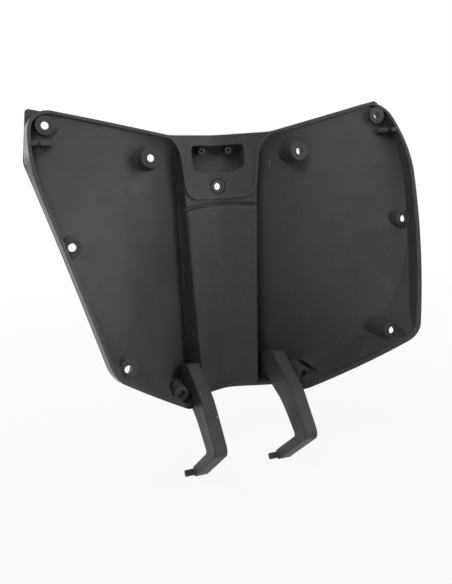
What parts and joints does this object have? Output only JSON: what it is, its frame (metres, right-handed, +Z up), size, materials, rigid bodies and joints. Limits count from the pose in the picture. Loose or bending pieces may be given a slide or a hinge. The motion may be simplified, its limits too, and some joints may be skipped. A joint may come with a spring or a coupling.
{
  "type": "scooter storage compartment lid",
  "caption": "Moulded lid of a scooter's storage compartment, seen from inside: folded tray with a middle band, latch plate, screw bosses and bent hinge arms.",
  "frame": {"origin": "on the hinge axis, midway between the two hinge arms", "axes": "+X along the hinge axis, +Z up the closed lid, -Y into the storage space that the lid covers"},
  "size_m": [0.3286, 0.1399, 0.3169],
  "materials": {
    "lid": "fine matt grain, black"
  },
  "bodies": {
    "root": {"lid": "lid"}
  },
  "joints": []
}
